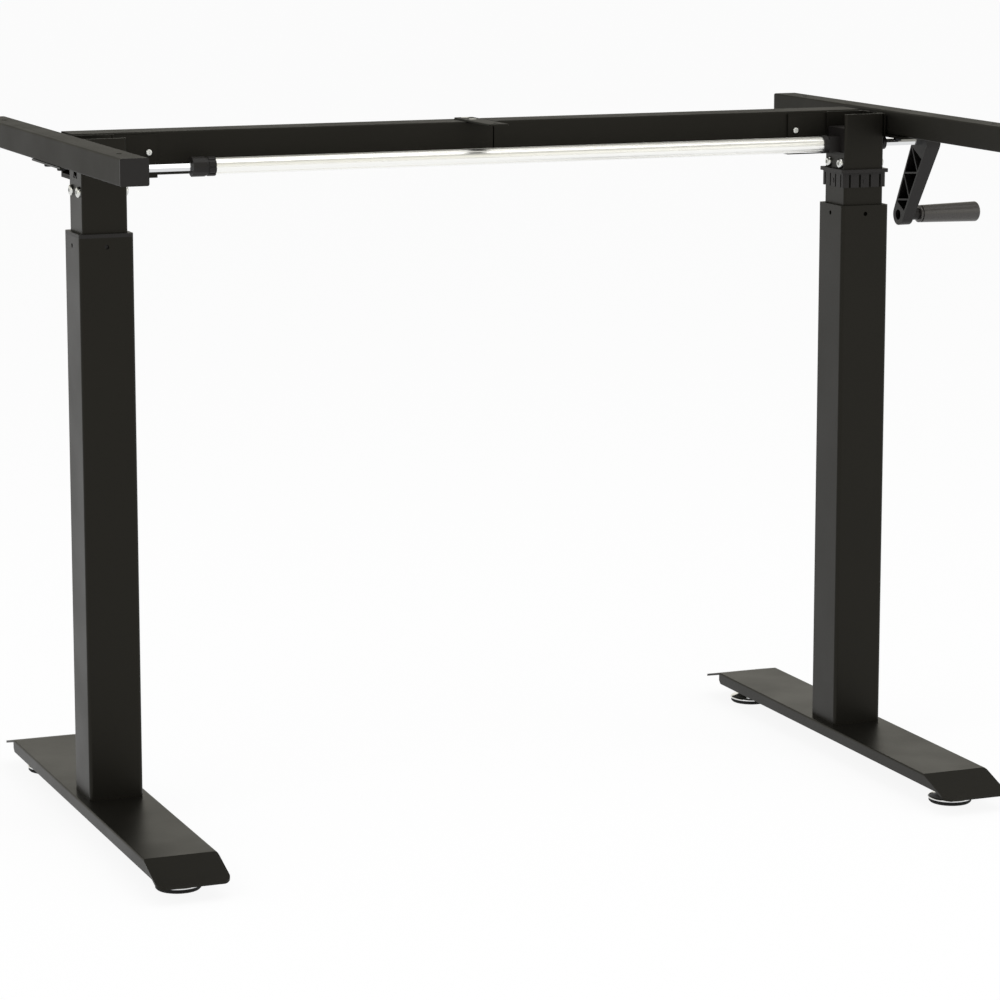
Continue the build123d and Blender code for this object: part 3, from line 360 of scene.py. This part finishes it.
# %% A turned surface
def turned_piece(name, along, radius, centre, axes, finish):
    """Surface of revolution. The point of row i at angle a is: centre + along[i] on the axis
    + radius[i, a] x (cos a on the first cross axis + sin a on the second)."""
    rows, columns = radius.shape
    angle = np.linspace(0, 2 * np.pi, columns, endpoint=False)
    axis, across, up = (np.array(direction, float) for direction in axes)
    ring = np.cos(angle)[:, None] * across + np.sin(angle)[:, None] * up
    points = np.array(centre) + along[:, None, None] * axis + radius[:, :, None] * ring[None]
    corners = np.concatenate([points[:1, 0], points[1:-1].reshape(-1, 3), points[-1:, 0]])
    index = 1 + np.arange((rows - 2) * columns).reshape(rows - 2, columns)
    turned = np.roll(index, -1, axis=1)
    quads = np.stack([index[:-1], turned[:-1], turned[1:], index[1:]], axis=-1).reshape(-1, 4)
    start = np.stack([np.zeros(columns, int), turned[0], index[0]], axis=-1)
    stop = np.stack([np.full(columns, len(corners) - 1), index[-1], turned[-1]], axis=-1)
    mesh = bpy.data.meshes.new(name)
    mesh.from_pydata(corners.tolist(), [], start.tolist() + quads.tolist() + stop.tolist())
    mesh.polygons.foreach_set("use_smooth", np.ones(len(mesh.polygons), bool))
    mesh.set_sharp_from_angle(angle=math.radians(40))
    mesh.materials.append(finishes[finish])
    piece = bpy.data.objects.new(name, mesh)
    scene.collection.objects.link(piece)
    return piece


def rounded(start, stop, steps):
    """Points on a quarter turn between two profile points, from along the axis to across it."""
    turn = np.linspace(0, np.pi / 2, steps)
    (x0, r0), (x1, r1) = start, stop
    return np.stack([x0 + (x1 - x0) * np.sin(turn), r0 + (r1 - r0) * (1 - np.cos(turn))], axis=-1)


print("a quarter turn of 5 points ends at", rounded((0, 1), (1, 0), 5)[-1].round(3).tolist())

# %% [markdown]
# ## Levelling feet
# Each one is a chromed steel cup on a rubber pad, with an M8 stud that screws into a nut under the foot.
# The cup is a low dish whose rolled rim grips the pad's edge. On the stud the radius follows a triangle
# wave that climbs one pitch per turn, which is what a cut thread is.

# %% Levelling feet
pad_radius = 24.0
rim_radius = 25.0
thread_pitch = 1.25
thread_depth = 0.6
columns = 48
dish = np.linspace(0, 1, 12)
cup = np.concatenate([
    [(0.0, 0.0), (0.0, pad_radius + 0.05), (-1.1, pad_radius + 0.05), (-1.2, pad_radius + 0.3)],
    [(-0.9, rim_radius - 0.3), (-0.4, rim_radius), (0.2, rim_radius), (0.7, rim_radius - 0.3)],
    [(1.2, rim_radius - 0.9), (1.6, rim_radius - 1.8), (1.8, rim_radius - 3.0)],
    np.stack([2.0 + 9.0 * dish ** 1.5, 21.0 - 15.0 * dish], axis=-1),
    [(11.4, 5.2), (12.0, 4.0)],
])
for name in [node for node in nodes if node.startswith("leveller_") and slot_of[node] == "chrome"]:
    low, high = (np.array(corner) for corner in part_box(name))
    stud_top = (high[2] - low[2]) / MM
    stud = np.arange(12.2, stud_top - 1.0, 0.15)
    lift = np.concatenate([cup[:, 0], stud, [stud_top - 0.9, stud_top, stud_top]])
    plain = np.concatenate([cup[:, 1], np.full(len(stud), 4.0), [3.9, 3.0, 0.0]])
    turn = np.linspace(0, 1, columns, endpoint=False)
    wave = 2 * np.abs((lift[:, None] / thread_pitch - turn[None]) % 1 - 0.5)
    cut = np.where((lift > 13) & (lift < stud_top - 1.0), thread_depth, 0.0)
    radius = plain[:, None] - cut[:, None] * wave
    centre = ((low[0] + high[0]) / 2, (low[1] + high[1]) / 2, low[2])
    foot = turned_piece(name + "_turned", lift * MM, radius * MM, centre,
                        ((0, 0, 1), (1, 0, 0), (0, 1, 0)), "chrome")
    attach(foot, name)
    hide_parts(name)
print("levelling feet with", len(stud), "rows of thread")

# %% [markdown]
# ## Grip
# The grip is moulded in two halves. It widens towards its rounded end, has a groove next to the arm, a
# blind bore for its pin, and a faint parting line down each side where the mould closed. The line is a
# narrow bump in the radius, 0.12 mm high, at two opposite angles.

# %% Grip
low, high = (np.array(corner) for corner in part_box("grip"))
grip_length = (high[0] - low[0]) / MM
first_radius = 10.25
last_radius = 12.0
groove_start = 2.0
groove_stop = 4.0
groove_floor = first_radius - 1.2
bore_radius = 4.2
bore_end = grip_length - 8.0
round_start = grip_length - 4.0
parting_height = 0.12
parting_width = 0.03
run = np.linspace(5.0, round_start, 40)
taper = first_radius + (last_radius - first_radius) * run / grip_length
profile = np.concatenate([
    [(bore_end, 0.0), (bore_end, bore_radius), (0.0, bore_radius), (0.0, first_radius - 0.6)],
    [(0.2, first_radius - 0.2), (0.6, first_radius), (groove_start, first_radius)],
    [(groove_start + 0.1, groove_floor), (groove_stop - 0.1, groove_floor)],
    [(groove_stop, first_radius + 0.05)],
    np.stack([run, taper], axis=-1),
    rounded((round_start, last_radius), (grip_length - 0.5, last_radius - 4.0), 9)[1:],
    [(grip_length - 0.1, 4.0), (grip_length, 1.8), (grip_length - 0.3, 1.5), (grip_length - 0.3, 0.0)],
])
angle = np.linspace(0, 2 * np.pi, 120, endpoint=False)
parting = parting_height * np.exp(-(np.sin(angle) / parting_width) ** 2)
outside = (profile[:, 1] > first_radius - 0.5)[:, None]
radius = profile[:, 1][:, None] + np.where(outside, parting[None], 0.0)
middle = (low + high) / 2
grip = turned_piece("grip_moulded", profile[:, 0] * MM, radius * MM, (low[0], middle[1], middle[2]),
                    ((1, 0, 0), (0, 1, 0), (0, 0, 1)), "grip_plastic")
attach(grip, "grip")
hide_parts("grip")
print("grip", round(grip_length, 1), "mm long")
